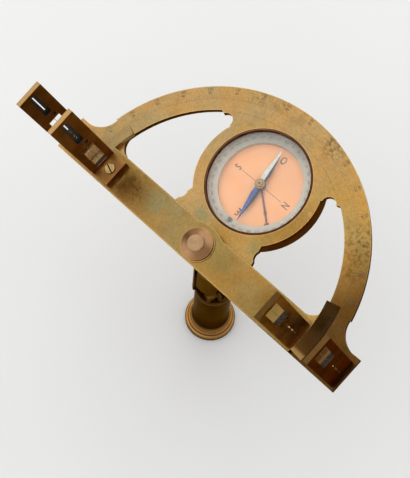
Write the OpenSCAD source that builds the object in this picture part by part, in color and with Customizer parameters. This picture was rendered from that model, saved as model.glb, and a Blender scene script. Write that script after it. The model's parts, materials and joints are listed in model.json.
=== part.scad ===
// Graphometer: a brass half circle for measuring angles in the field.
// A ball joint on a staff socket carries the limb plate with its compass and two fixed sights.
// The alidade turns on the stem over the limb and carries two more sights and two index arcs.
// Plate pieces are drawn in plate coordinates: the pivot is the origin, X runs along the diameter,
// Y runs from the pivot to the middle of the limb and Z = 0 is the upper face of the plate.

/* [Limb] */
// Outer radius of the graduated half circle
limb_r = 110; // [100:1:130]
// Width of the graduated band
limb_band = 16.7; // [12:0.1:20]
// Thickness of the limb plate
plate_t = 4; // [3:0.1:6]
// Width of the bar along the diameter
bar_w = 25; // [24:0.5:30]
// How far the two ears stand out past the limb
ear_out = 17; // [14:0.5:24]
// Radius of the hollow sweep between limb and ear
flare_r = 16; // [12:0.5:20]
// Radius of the outer corner of each cut-out
corner_r = 10; // [5:0.5:14]
// Radius of the lobe where a cut-out ends against the limb
upper_lobe_r = 4.9; // [3:0.1:5.5]
// Radius of the lobe where a cut-out ends against the bar
lower_lobe_r = 5.6; // [3:0.1:6]

/* [Compass] */
// Width of the plate's ring around the compass
compass_ring_w = 7.5; // [6.5:0.1:10]
// How far that ring runs into the limb's band
ring_overlap = 6.2; // [4:0.1:8]
// Depth of the compass box, from the upper face of the plate
box_depth = 13; // [12:0.5:20]
// Wall of the compass box
box_wall = 4; // [3.6:0.1:6]
// Floor of the compass box
box_floor = 2; // [1.6:0.1:3.2]
// Thickness of the copper dial
dial_t = 1.4; // [1:0.1:2]
// Width of the graduated compass ring
chapter_w = 7.6; // [5:0.1:9]
// Height of the graduated compass ring over the dial
chapter_h = 4; // [3:0.1:4.5]
// Thickness of the glass
glass_t = 1.4; // [1:0.1:2]
// Width of the ring that keeps the glass in
glass_ring_w = 1.6; // [1.2:0.1:3]
// Widest part of the needle
needle_w = 4.8; // [3:0.1:6]
// Thickness of the needle
needle_t = 0.7; // [0.4:0.1:1]
// Radius of the needle's cap
cap_r = 3.5; // [2.8:0.1:4]
// Heading of the needle in the plate, from X
needle_heading = 99; // [90:1:115]
// Heading of the needle lifter in the plate, from X
lifter_heading = -39; // [-50:1:-20]
// Width of the needle lifter
lifter_w = 1.1; // [1:0.1:3]

/* [Alidade] */
// Width of the alidade
alidade_w = 24; // [22:0.5:24.5]
// Thickness of the alidade
alidade_t = 4; // [3:0.1:5]
// How far the alidade swells past its edge at the pivot
alidade_swell = 2.2; // [1:0.1:3]
// Half the length of that swelling
alidade_swell_half = 11.5; // [8:0.5:14]
// Width of an index arc
arc_w = 8.5; // [6:0.1:10]
// How far an index arc starts inside the limb's band
arc_back = 1.3; // [0.5:0.1:3]
// Angle of an index arc past the diameter, on the limb's side
arc_ahead = 17; // [12:0.5:25]
// Angle of an index arc on the other side of the diameter
arc_behind = 6.3; // [4:0.1:7]
// Thickness of the thin reading edge of an index arc
arc_edge_t = 0.5; // [0.3:0.1:1]

/* [Sights] */
// Width of a sight
sight_w = 19.4; // [16:0.2:22]
// Thickness of a sight's upright
sight_t = 3.2; // [3:0.1:5]
// Height of a fixed sight over the plate
fixed_sight_h = 74; // [60:1:90]
// Height of an alidade sight over the alidade
alidade_sight_h = 78; // [60:1:90]
// Length of a sight's foot
foot_l = 12; // [10:0.5:14]
// Thickness of a sight's foot
foot_t = 4.5; // [3:0.1:6]
// Width of a sight's window
window_w = 9.2; // [6:0.1:12]
// Width of the oval recess around a sight's slit
recess_w = 5.6; // [3:0.1:7]
// Depth of that recess
recess_d = 2.2; // [1:0.1:2.5]
// Width of the slit
slit_w = 0.8; // [0.5:0.1:1.2]
// Radius of the small eye hole
eye_r = 0.8; // [0.5:0.1:1.2]
// Radius of the hair in a window
hair_r = 0.15; // [0.1:0.05:0.3]
// Radius of a foot screw's head
foot_screw_head_r = 3.6; // [2.5:0.1:4]
// Radius of a foot screw's shank
foot_screw_r = 1.5; // [1:0.1:2]

/* [Ball joint] */
// Radius of the ball
ball_r = 11.5; // [10:0.1:12]
// From the socket's top to the ball's centre
ball_rise = 43.8; // [41:0.1:55]
// From the ball's centre to the upper face of the plate
stem_l = 42; // [38:1:60]
// Radius of the neck over the ball
neck_r = 6; // [5:0.1:6.5]
// Radius of the stem's shoulder under the plate
shoulder_r = 11.5; // [8:0.1:11.8]
// Thickness of that shoulder
shoulder_t = 4; // [2:0.1:6]
// Radius of the stem where limb and alidade turn on it
spigot_r = 5; // [4:0.1:7]
// Radius of the stem's threaded end
stud_r = 3; // [2:0.1:3.5]
// Outer radius of the two jaws
jaw_r = 15.2; // [14:0.1:18]
// From the socket's top to the front jaw's lower edge
front_jaw_rise = 19; // [17:0.5:20]
// Gap between the two jaws
jaw_gap = 4.8; // [4.6:0.1:5.6]
// Height of the jaws' lip over the ball's centre
lip_h = 3; // [2:0.1:3.5]
// From the socket's top to the fulcrum pin
fulcrum_rise = 7; // [6:0.5:8]
// Radius of the fulcrum pin
fulcrum_r = 1.5; // [1:0.1:2]
// From the socket's top to the clamp screw
clamp_rise = 25; // [24:0.5:26]
// Radius of the clamp screw
clamp_r = 2.5; // [2:0.1:2.8]
// Height of the clamp screw's wing
wing_h = 22; // [14:1:26]

/* [Knob] */
// Radius of the pivot knob
knob_r = 10.8; // [8:0.1:11.5]
// Radius of the knob's raised middle
knob_top_r = 6; // [4.5:0.1:7.5]
// Height of the knob's upright edge
knob_edge_h = 1.2; // [0.8:0.1:1.8]
// Height where the sloping skirt meets the raised middle
knob_step_h = 2.9; // [2:0.1:3.5]
// Height of the whole knob
knob_h = 4.8; // [4.4:0.1:7]

/* [Staff socket] */
// Radius of the socket's foot
rim_r = 18.5; // [17:0.1:22]
// Outer radius of the tube
tube_r = 13.2; // [12.8:0.1:14.2]
// Radius of the bore for the staff
staff_r = 10.5; // [8:0.1:11]
// Wall between the bore for the staff and the jaw's tenon
staff_wall = 6; // [4:0.5:12]
// Height of the socket
socket_h = 58; // [50:0.5:75]

/* [Pose] */
// Tilt of the plate in the photographed pose
tilt = 20; // [10:0.1:30]
// Turn of the limb on its stem in that pose
turn = 23.1; // [0:0.1:45]

/* [Hidden] */
$fn = 96;

// Clearances
run_fit = 0.05;
seat_fit = 0.02;
slide_gap = 0.1;
cut = 1;

// Colours
brass = "goldenrod";
dark_brass = "darkgoldenrod";
copper = "darksalmon";
silvered = "gainsboro";
steel = "slategray";
blued = "royalblue";

// Limb
limb_in = limb_r - limb_band;
bar_half = bar_w / 2;
ear_x = limb_r + ear_out;
ear_top = bar_half + 0.5;
flare_c = [ear_x - 5.4, ear_top + flare_r - 0.15];
flare_top = flare_c[1] - 2;
corner_ease = 0.15;

// Compass: its ring fills the space between the bar and the limb
ring_r = (limb_in + ring_overlap - bar_half) / 2;
compass_y = bar_half + ring_r;
hole_r = ring_r - compass_ring_w;
dial_z = -box_depth + box_floor + dial_t;
chapter_in = hole_r - chapter_w;
chapter_z = dial_z + chapter_h;
glass_seat_z = chapter_z + 2.1;
glass_z = glass_seat_z + glass_t;
box_screw_r = 1;
box_screw_at = ring_r - box_wall / 2;
box_screw_head_r = 1.8;
box_screw_head_h = 1.2;
box_screw_angles = [7, 82, 187, 262];

// Needle and lifter
needle_tip = chapter_in - 0.7;
needle_z = chapter_z - 1.4;
needle_top = needle_z + needle_t;
pivot_r = 0.9;
point_low = needle_z - 0.8;
cap_neck_r = 2.2;
cap_high = needle_top + 2.4;
jewel_r = 1.3;
jewel_top = needle_top + 1.2;
cup_h = 1.5;
lifter_t = 0.8;
lifter_ring_r = 3.4;
lifter_hinge_at = chapter_in - 1.5;
lifter_screw_at = lifter_hinge_at - 8;
lifter_screw_r = 1.2;
lifter_screw_head_r = 3.6;
lifter_screw_head_h = 3;
lifter_travel = 0.4;
lifter_pin_r = 0.2;
lifter_z = dial_z + slide_gap;

// Alidade
alidade_z = slide_gap;
alidade_top = alidade_z + alidade_t;
alidade_half = alidade_w / 2;
arc_in = limb_in - arc_back;
arc_out = arc_in + arc_w;
swell_r = (alidade_swell_half * alidade_swell_half + alidade_swell * alidade_swell) / (2 * alidade_swell);

// Sights
sight_y = -0.8;
ear_margin = 2;
sight_margin = 2;
fixed_face_x = ear_x - ear_margin - sight_t;
alidade_face_x = arc_in - sight_margin - sight_t;
opening_edge = 4;
opening_foot = 7.5;
opening_gap = 8;
eye_off = 2.6;
foot_screw_at = foot_l * 0.45;
foot_screw_head_h = 1.5;
foot_screw_slot_w = 0.9;
foot_screw_slot_d = 0.8;
foot_screw_l = foot_t + 3;
hair_grip = 1.5;

// Ball joint
seat_r = ball_r + run_fit;
ball_z = socket_h + ball_rise;
front_jaw_z = socket_h + front_jaw_rise;
fulcrum_z = socket_h + fulcrum_rise;
clamp_z = socket_h + clamp_rise;
jaw_top = ball_z + lip_h;
fulcrum_x = 6.5;
tail_r = 3.3;
tail_half = 3.3;
lug_t = 5.2;
lug_gap = 0.2;
base_t = 2;
base_r = 12.4;
tenon_r = 7;
tenon_l = 7;
staff_depth = socket_h - tenon_l - staff_wall;
clamp_hole_r = clamp_r + 0.6;
nut_r = 5.2;
nut_h = 4;
clamp_flange_r = 5;
clamp_flange_t = 2.5;
wing_l = 14;
wing_t = 3.4;
plate_low = -plate_t;

// Knob
washer_t = 0.5;
washer_r = knob_r + 1;
knob_z = alidade_top + washer_t + slide_gap;
stud_top = knob_z + knob_h - 1.4;

// Places plate coordinates in the pose
module in_plate() {
    translate([0, 0, ball_z]) rotate([tilt, 0, 0]) rotate([0, 0, turn]) translate([0, 0, stem_l])
        children();
}

// Places pieces at the compass's centre
module in_compass() {
    in_plate() translate([0, compass_y, 0]) children();
}

// Draws children on both sides of the plate's middle line
module both_sides() {
    children();
    mirror([1, 0, 0]) children();
}

// Ring of a rectangular section
module ring(inner, outer, low, high) {
    difference() {
        translate([0, 0, low]) cylinder(r = outer, h = high - low);
        translate([0, 0, low - cut]) cylinder(r = inner, h = high - low + 2 * cut);
    }
}

// Disc between two heights
module disc(r, low, high) {
    translate([0, 0, low]) cylinder(r = r, h = high - low);
}

// Cylinder along X
module along_x(r, from, to) {
    translate([from, 0, 0]) rotate([0, 90, 0]) cylinder(r = r, h = to - from);
}

// Cylinder along Y
module along_y(r, from, to) {
    translate([0, from, 0]) rotate([-90, 0, 0]) cylinder(r = r, h = to - from);
}

// Slotted screw with its head's seat at Z = 0 and its shank below
module slotted_screw(head_r, head_h, shank_r, shank_l, slot_w, slot_d) {
    difference() {
        union() {
            cylinder(r = head_r, h = head_h * 0.6);
            translate([0, 0, head_h * 0.6]) cylinder(r1 = head_r, r2 = head_r * 0.86, h = head_h * 0.4);
            translate([0, 0, -shank_l]) cylinder(r = shank_r, h = shank_l);
        }
        translate([-head_r - cut, -slot_w / 2, head_h - slot_d])
            cube([2 * (head_r + cut), slot_w, slot_d + cut]);
    }
}

// One ear and the root that joins it to the limb
module ear_outline() {
    translate([0, -bar_half]) square([ear_x, bar_half + ear_top]);
    translate([limb_in, 0]) square([flare_c[0] - limb_in, flare_top - cut]);
}

// The hollow sweep over an ear, which ends in a small step at the limb's edge
module flare_cut() {
    intersection() {
        translate(flare_c) circle(r = flare_r);
        square([2 * limb_r, flare_top]);
    }
}

// One cut-out between the limb, the bar and the compass ring
module cut_out() {
    upper = 21.5;
    lower = -43;
    centre = [0, compass_y];
    ring_end = centre + (ring_r - cut) * [cos(lower), sin(lower)];
    bar_end = [ring_end[0] + 3.7, bar_half];
    far = centre + 2 * ring_r * [cos(upper), sin(upper)];
    corner_c = [sqrt((limb_in - corner_r) * (limb_in - corner_r)
                     - (bar_half + corner_r) * (bar_half + corner_r)), bar_half + corner_r];
    corner_end = corner_c * (limb_in + cut) / (limb_in - corner_r);
    difference() {
        intersection() {
            polygon([centre, ring_end, bar_end, [limb_r, bar_half], [limb_r, far[1]], far]);
            circle(r = limb_in);
        }
        translate(centre) circle(r = ring_r);
        difference() {
            polygon([
                [corner_c[0], bar_half - cut], [limb_r, bar_half - cut],
                [limb_r, corner_end[1]], corner_end, corner_c
            ]);
            translate(corner_c) circle(r = corner_r + corner_ease);
        }
    }
    translate(centre + (ring_r + upper_lobe_r + 0.9) * [cos(upper - 1), sin(upper - 1)])
        circle(r = upper_lobe_r);
    translate([bar_end[0] - 2.4 + lower_lobe_r * 0.9, bar_half + lower_lobe_r + 1.7])
        circle(r = lower_lobe_r);
}

// Outline of the limb plate, without its screw holes
module limb_outline() {
    difference() {
        union() {
            intersection() {
                circle(r = limb_r);
                translate([-2 * limb_r, -bar_half]) square([4 * limb_r, 2 * limb_r]);
            }
            both_sides() ear_outline();
        }
        both_sides() flare_cut();
        both_sides() cut_out();
        translate([0, compass_y]) circle(r = hole_r);
        circle(r = spigot_r + run_fit);
    }
}

// Places a sight's own coordinates on a side: inner face at X = 0, base at Z = 0
module on_side(side, face_x, base_z) {
    mirror([side < 0 ? 1 : 0, 0, 0]) translate([face_x, sight_y, base_z]) children();
}

// Rectangular opening through a sight's upright
module window(low, high) {
    translate([-cut, -window_w / 2, low]) cube([sight_t + 2 * cut, window_w, high - low]);
}

// Fine slit in an oval recess on the inner face
module slit(low, high) {
    for (z = [low + recess_w / 2, high - recess_w / 2])
        translate([0, 0, z]) along_x(recess_w / 2, -cut, recess_d);
    translate([-cut, -recess_w / 2, low + recess_w / 2])
        cube([recess_d + cut, recess_w, high - low - recess_w]);
    translate([-cut, -slit_w / 2, low + recess_w / 2])
        cube([sight_t + 2 * cut, slit_w, high - low - recess_w]);
}

// Height where the upper opening of a sight starts and where the lower one ends
function opening_mid(h) = opening_foot + (h - opening_foot - opening_edge) * 0.5;
function window_low(h, window_on_top) = window_on_top ? opening_mid(h) + opening_gap / 2 : opening_foot;
function window_high(h, window_on_top) = window_on_top ? h - opening_edge : opening_mid(h) - opening_gap / 2;

// A sight: an upright with a window, a slit and an eye hole, on an inward foot
module sight(h, window_on_top) {
    difference() {
        union() {
            translate([0, -sight_w / 2, 0]) cube([sight_t, sight_w, h]);
            translate([-foot_l, -sight_w / 2, 0]) cube([foot_l, sight_w, foot_t]);
        }
        window(window_low(h, window_on_top), window_high(h, window_on_top));
        slit(window_low(h, !window_on_top), window_high(h, !window_on_top));
        translate([0, eye_off, opening_mid(h)]) {
            along_x(eye_r, -cut, sight_t + cut);
            translate([-cut, 0, 0]) along_x(eye_r * 2, 0, cut + sight_t * 0.3);
        }
        for (z = [window_low(h, window_on_top) - hair_grip, window_high(h, window_on_top)])
            translate([sight_t / 2, 0, z]) cylinder(r = hair_r + seat_fit, h = hair_grip, $fn = 24);
        translate([-foot_screw_at - foot_l * 0.05, 0, -cut])
            cylinder(r = foot_screw_r + seat_fit, h = foot_t + 2 * cut);
    }
}

// The hair stretched over a sight's window
module sight_hair(h, window_on_top) {
    low = window_low(h, window_on_top) - hair_grip;
    translate([sight_t / 2, 0, low])
        cylinder(r = hair_r, h = window_high(h, window_on_top) + hair_grip - low, $fn = 24);
}

// The screw through a sight's foot
module foot_screw() {
    translate([-foot_screw_at - foot_l * 0.05, 0, foot_t]) rotate([0, 0, 20])
        slotted_screw(foot_screw_head_r, foot_screw_head_h, foot_screw_r, foot_screw_l,
            foot_screw_slot_w, foot_screw_slot_d);
}

// Hole for that screw in what carries the sight
module foot_screw_hole() {
    translate([-foot_screw_at - foot_l * 0.05, 0, foot_t - foot_screw_l - seat_fit])
        cylinder(r = foot_screw_r + seat_fit, h = foot_screw_l + cut);
}

// Index arc, bevelled down to its reading edge
module index_arc(from, to) {
    rotate([0, 0, from]) rotate_extrude(angle = to - from) polygon([
        [arc_in + seat_fit, alidade_z], [arc_out, alidade_z],
        [arc_out, alidade_z + arc_edge_t], [arc_in + seat_fit, alidade_top]
    ]);
}

// Outer form of the jaws, with its lower edge eased
module jaw_form(low) {
    ease = 1.5;
    rotate_extrude() polygon([
        [0, low], [jaw_r - 2 * ease, low], [jaw_r, low + 2 * ease], [jaw_r, jaw_top - ease / 2],
        [jaw_r - ease / 2, jaw_top], [0, jaw_top]
    ]);
}

// Seat of the ball and the mouth over it for the neck
module ball_room() {
    translate([0, 0, ball_z]) sphere(r = seat_r);
    mouth = sqrt(seat_r * seat_r - lip_h * lip_h);
    translate([0, 0, jaw_top - 1]) cylinder(r1 = mouth - 0.2, r2 = mouth + 1.2, h = 1 + cut / 100);
}

module staff_socket() {
    color(dark_brass) difference() {
        rotate_extrude() polygon([
            [0, 0], [rim_r - 0.6, 0], [rim_r, 0.8], [rim_r, 3.4], [rim_r - 0.8, 4.4],
            [rim_r - 1.8, 4.8], [rim_r - 1.8, 6], [rim_r - 2.4, 6.6], [rim_r - 3.4, 6.8],
            [rim_r - 3.4, 7.8], [tube_r + 0.8, 8.6], [tube_r, 10], [tube_r, socket_h - 1],
            [tube_r - 1, socket_h], [0, socket_h]
        ]);
        translate([0, 0, -cut]) cylinder(r = staff_r, h = staff_depth + cut);
        disc(tenon_r + seat_fit, socket_h - tenon_l - seat_fit, socket_h + cut);
    }
}

// Round-headed lug that holds one end of the fulcrum pin
module lug() {
    translate([0, 0, fulcrum_z]) along_y(tail_r, -lug_t / 2, lug_t / 2);
    translate([-tail_r, -lug_t / 2, socket_h]) cube([2 * tail_r, lug_t, fulcrum_z - socket_h]);
}

module fixed_jaw() {
    base_top = socket_h + base_t;
    color(brass) difference() {
        union() {
            disc(base_r, socket_h, base_top);
            disc(tenon_r, socket_h - tenon_l, socket_h + cut / 2);
            difference() {
                jaw_form(socket_h + base_t / 2);
                translate([-jaw_gap / 2, -2 * jaw_r, 0]) cube([4 * jaw_r, 4 * jaw_r, 2 * ball_z]);
            }
            intersection() {
                for (side = [-1, 1])
                    translate([fulcrum_x, side * (tail_half + lug_gap + lug_t / 2), 0]) lug();
                disc(base_r, socket_h, fulcrum_z + 2 * tail_r);
            }
        }
        ball_room();
        translate([fulcrum_x, 0, fulcrum_z]) along_y(fulcrum_r + seat_fit, -2 * jaw_r, 2 * jaw_r);
        translate([0, 0, clamp_z]) along_x(clamp_r + run_fit, -2 * jaw_r, 0);
        translate([-tail_r, -tail_half - lug_gap, base_top])
            cube([2 * jaw_r, 2 * (tail_half + lug_gap), clamp_z - clamp_hole_r - 2 - base_top]);
    }
}

module fulcrum_pin() {
    pin_half = tail_half + lug_gap + lug_t;
    color(steel) translate([fulcrum_x, 0, fulcrum_z]) along_y(fulcrum_r, -pin_half, pin_half);
}

module front_jaw() {
    color(brass) difference() {
        union() {
            difference() {
                jaw_form(front_jaw_z);
                translate([jaw_gap / 2 - 4 * jaw_r, -2 * jaw_r, 0]) cube([4 * jaw_r, 4 * jaw_r, 2 * ball_z]);
            }
            translate([fulcrum_x, 0, fulcrum_z]) along_y(tail_r, -tail_half, tail_half);
            translate([fulcrum_x - tail_r, -tail_half, fulcrum_z])
                cube([2 * tail_r, 2 * tail_half, front_jaw_z - fulcrum_z + cut]);
        }
        ball_room();
        translate([fulcrum_x, 0, fulcrum_z]) along_y(fulcrum_r + run_fit, -2 * jaw_r, 2 * jaw_r);
        translate([0, 0, clamp_z]) along_x(clamp_hole_r, 0, 2 * jaw_r);
        translate([jaw_r - 1, -nut_r - 0.5, clamp_z - nut_r - 0.5])
            cube([jaw_r, 2 * nut_r + 1, 2 * nut_r + 1]);
    }
}

module clamp_screw() {
    head_x = -jaw_r - slide_gap;
    color(dark_brass) translate([0, 0, clamp_z]) {
        along_x(clamp_r, head_x - clamp_flange_t, jaw_r - 1 + nut_h + 1.5);
        along_x(clamp_flange_r, head_x - clamp_flange_t, head_x);
        translate([head_x - clamp_flange_t, 0, 0]) difference() {
            translate([0, wing_t / 2, 0]) rotate([90, 0, 0]) linear_extrude(wing_t) polygon([
                [cut / 2, -clamp_flange_r + 0.6], [-4, -clamp_flange_r + 0.6], [-8, -wing_h / 2],
                [-wing_l, -wing_h / 2], [-wing_l, -wing_h / 2 + 5], [-wing_l + 3, 0],
                [-wing_l, wing_h / 2 - 5], [-wing_l, wing_h / 2], [-8, wing_h / 2],
                [-4, clamp_flange_r - 0.6], [cut / 2, clamp_flange_r - 0.6]
            ]);
            translate([cut / 4, -wing_t, -wing_h]) cube([cut, 2 * wing_t, 2 * wing_h]);
        }
    }
}

module clamp_nut() {
    color(dark_brass) translate([jaw_r - 1 + slide_gap, 0, clamp_z]) difference() {
        intersection() {
            along_x(nut_r, 0, nut_h);
            translate([0, -nut_r, -nut_r * 0.8]) cube([nut_h, 2 * nut_r, nut_r * 1.6]);
        }
        along_x(clamp_r + run_fit, -cut, nut_h + cut);
    }
}

module ball_stem() {
    color(brass) in_plate() {
        translate([0, 0, -stem_l]) sphere(r = ball_r);
        disc(neck_r, -stem_l, plate_low - shoulder_t / 2);
        disc(shoulder_r, plate_low - shoulder_t - slide_gap, plate_low - slide_gap);
        translate([0, 0, plate_low - shoulder_t - slide_gap - shoulder_r + neck_r])
            cylinder(r1 = neck_r, r2 = shoulder_r, h = shoulder_r - neck_r);
        disc(spigot_r, plate_low - shoulder_t / 2, alidade_top);
        disc(stud_r, alidade_top - cut, stud_top);
    }
}

module limb_plate() {
    color(brass) in_plate() difference() {
        translate([0, 0, plate_low]) linear_extrude(plate_t) limb_outline();
        for (side = [-1, 1]) on_side(side, fixed_face_x, 0) foot_screw_hole();
        for (a = box_screw_angles)
            translate([0, compass_y, plate_low - cut]) rotate([0, 0, a]) translate([box_screw_at, 0, 0])
                cylinder(r = box_screw_r + seat_fit, h = plate_t + 2 * cut);
    }
}

module fixed_sight_left() {
    color(brass) in_plate() on_side(-1, fixed_face_x, 0) sight(fixed_sight_h, false);
}

module fixed_sight_right() {
    color(brass) in_plate() on_side(1, fixed_face_x, 0) sight(fixed_sight_h, true);
}

module fixed_sight_screws() {
    color(dark_brass) in_plate() for (side = [-1, 1]) on_side(side, fixed_face_x, 0) foot_screw();
}

module fixed_sight_hairs() {
    color(steel) in_plate() for (side = [-1, 1])
        on_side(side, fixed_face_x, 0) sight_hair(fixed_sight_h, side > 0);
}

module compass_box() {
    color(dark_brass) in_compass() difference() {
        disc(ring_r, -box_depth, plate_low);
        disc(ring_r - box_wall, -box_depth + box_floor, plate_low + cut);
        for (a = box_screw_angles) rotate([0, 0, a]) translate([box_screw_at, 0, 0])
            disc(box_screw_r + seat_fit, -box_depth - cut, plate_low + cut);
        rotate([0, 0, lifter_heading]) translate([lifter_screw_at, 0, 0])
            disc(lifter_screw_r + run_fit, -box_depth - cut, 0);
    }
}

module compass_box_screws() {
    color(brass) in_compass() for (a = box_screw_angles)
        rotate([0, 0, a]) translate([box_screw_at, 0, -box_depth]) rotate([180, 0, 0])
            slotted_screw(box_screw_head_r, box_screw_head_h, box_screw_r, box_depth, 0.5, 0.5);
}

module compass_dial() {
    color(copper) in_compass() difference() {
        disc(ring_r - box_wall - seat_fit, dial_z - dial_t, dial_z);
        disc(pivot_r + seat_fit, dial_z - dial_t - cut, dial_z + cut);
        rotate([0, 0, lifter_heading]) translate([lifter_screw_at, 0, 0])
            disc(lifter_screw_r + run_fit, dial_z - dial_t - cut, dial_z + cut);
    }
}

module chapter_ring() {
    color(silvered) in_compass() rotate_extrude() polygon([
        [chapter_in, dial_z], [hole_r - seat_fit, dial_z], [hole_r - seat_fit, glass_seat_z],
        [hole_r - glass_ring_w, glass_seat_z], [hole_r - glass_ring_w, chapter_z], [chapter_in, chapter_z]
    ]);
}

module compass_glass() {
    color("lightcyan", 0.3) in_compass() disc(hole_r - seat_fit, glass_seat_z, glass_z);
}

module glass_ring() {
    color(copper) in_compass() ring(hole_r - glass_ring_w, hole_r - seat_fit, glass_z, -slide_gap);
}

module needle_pivot() {
    color(steel) in_compass() {
        disc(pivot_r, dial_z - dial_t, point_low);
        translate([0, 0, point_low])
            cylinder(r1 = pivot_r, r2 = 0.12, h = needle_z + cup_h - 0.05 - point_low);
    }
}

module needle() {
    half = needle_w / 2;
    waist = half * 0.8;
    slim = half * 0.62;
    shoulder_x = needle_tip * 0.28;
    slim_x = needle_tip * 0.62;
    color(blued) in_compass() rotate([0, 0, needle_heading]) difference() {
        translate([0, 0, needle_z]) linear_extrude(needle_t) union() {
            polygon([[needle_tip, 0], [slim_x, slim], [shoulder_x, half], [0, waist], [-shoulder_x, half],
                [-slim_x, slim], [-needle_tip, 0], [-slim_x, -slim], [-shoulder_x, -half], [0, -waist],
                [shoulder_x, -half], [slim_x, -slim]]);
            circle(r = cap_r - 0.1);
        }
        disc(cap_neck_r, needle_z - cut, needle_top + cut);
    }
}

module needle_cap() {
    color(brass) in_compass() difference() {
        rotate_extrude() polygon([
            [0, needle_z], [cap_neck_r - seat_fit, needle_z], [cap_neck_r - seat_fit, needle_top],
            [cap_r, needle_top], [cap_r, needle_top + 1.3], [cap_r - 0.4, needle_top + 1.7],
            [2.3, needle_top + 1.7], [2.1, cap_high], [0, cap_high]
        ]);
        disc(jewel_r + seat_fit, needle_z - cut, jewel_top);
        disc(0.8, needle_z, cap_high + cut);
    }
}

module cap_jewel() {
    color("firebrick") in_compass() difference() {
        disc(jewel_r, needle_z, jewel_top - seat_fit);
        translate([0, 0, needle_z - cut]) cylinder(r1 = 1.7, r2 = 0.2, h = cup_h + cut);
    }
}

module lifter_hinge() {
    lug = 0.7;
    color(brass) in_compass() rotate([0, 0, lifter_heading]) translate([lifter_hinge_at, 0, 0]) {
        for (side = [-1, 1]) translate([-lug, side * (lifter_w / 2 + 0.2 + lug / 2) - lug / 2, dial_z])
            cube([2 * lug, lug, lifter_t + 0.6]);
        translate([0, 0, lifter_z + lifter_t / 2])
            along_y(lifter_pin_r, -lifter_w / 2 - lug, lifter_w / 2 + lug);
    }
}

module needle_lifter() {
    color("maroon") in_compass() rotate([0, 0, lifter_heading]) difference() {
        union() {
            disc(lifter_ring_r, lifter_z, lifter_z + lifter_t);
            translate([lifter_ring_r - 0.6, -lifter_w / 2, lifter_z])
                cube([lifter_hinge_at - lifter_ring_r + 0.6, lifter_w, lifter_t]);
            translate([lifter_hinge_at, 0, lifter_z + lifter_t / 2])
                along_y(lifter_t / 2, -lifter_w / 2, lifter_w / 2);
        }
        disc(pivot_r + 1, dial_z, 0);
        translate([lifter_hinge_at, 0, lifter_z + lifter_t / 2])
            along_y(lifter_pin_r + run_fit, -lifter_w, lifter_w);
    }
}

module lifter_screw() {
    head_top = -box_depth - lifter_travel - 0.3;
    color(brass) in_compass() rotate([0, 0, lifter_heading]) translate([lifter_screw_at, 0, 0]) {
        disc(lifter_screw_r, head_top - cut, dial_z);
        disc(lifter_screw_head_r, head_top - lifter_screw_head_h, head_top);
    }
}

module alidade_bar() {
    color(brass) in_plate() difference() {
        translate([0, 0, alidade_z]) linear_extrude(alidade_t) intersection() {
            union() {
                translate([-limb_r, -alidade_half]) square([2 * limb_r, alidade_w]);
                intersection() {
                    translate([0, alidade_half + alidade_swell - swell_r]) circle(r = swell_r);
                    translate([-limb_r, 0]) square([2 * limb_r, limb_r]);
                }
            }
            circle(r = arc_in);
        }
        disc(spigot_r + run_fit, 0, alidade_top + cut);
        for (side = [-1, 1]) on_side(side, alidade_face_x, alidade_top) foot_screw_hole();
    }
}

module index_arc_left() {
    color(dark_brass) in_plate() index_arc(180 - arc_ahead, 180 + arc_behind);
}

module index_arc_right() {
    color(dark_brass) in_plate() index_arc(-arc_behind, arc_ahead);
}

module alidade_sight_left() {
    color(brass) in_plate() on_side(-1, alidade_face_x, alidade_top) sight(alidade_sight_h, false);
}

module alidade_sight_right() {
    color(brass) in_plate() on_side(1, alidade_face_x, alidade_top) sight(alidade_sight_h, true);
}

module alidade_sight_screws() {
    color(dark_brass) in_plate() for (side = [-1, 1])
        on_side(side, alidade_face_x, alidade_top) foot_screw();
}

module alidade_sight_hairs() {
    color(steel) in_plate() for (side = [-1, 1])
        on_side(side, alidade_face_x, alidade_top) sight_hair(alidade_sight_h, side > 0);
}

module pivot_knob() {
    ease = 0.3;
    color(copper) in_plate() translate([0, 0, knob_z]) difference() {
        rotate_extrude() polygon([
            [0, 0], [knob_r - ease, 0], [knob_r, ease], [knob_r, knob_edge_h],
            [knob_top_r, knob_step_h], [knob_top_r, knob_h - 2 * ease],
            [knob_top_r - 2 * ease, knob_h], [0, knob_h]
        ]);
        disc(stud_r + run_fit, -cut, stud_top - knob_z + slide_gap);
    }
}

module pivot_washer() {
    color(brass) in_plate() ring(stud_r + run_fit, washer_r, alidade_top + slide_gap, knob_z);
}

staff_socket();
fixed_jaw();
fulcrum_pin();
front_jaw();
clamp_screw();
clamp_nut();
ball_stem();
limb_plate();
fixed_sight_left();
fixed_sight_right();
fixed_sight_screws();
fixed_sight_hairs();
compass_box();
compass_box_screws();
compass_dial();
chapter_ring();
compass_glass();
glass_ring();
needle_pivot();
lifter_hinge();
needle();
needle_cap();
cap_jewel();
needle_lifter();
lifter_screw();
alidade_bar();
index_arc_left();
index_arc_right();
alidade_sight_left();
alidade_sight_right();
alidade_sight_screws();
alidade_sight_hairs();
pivot_knob();
pivot_washer();
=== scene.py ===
"""Graphometer: finishes, engraved marks and a plain studio for the CAD model of a brass angle measurer."""
import json
import math

import bmesh
import bpy
from mathutils import Matrix, Vector


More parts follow.
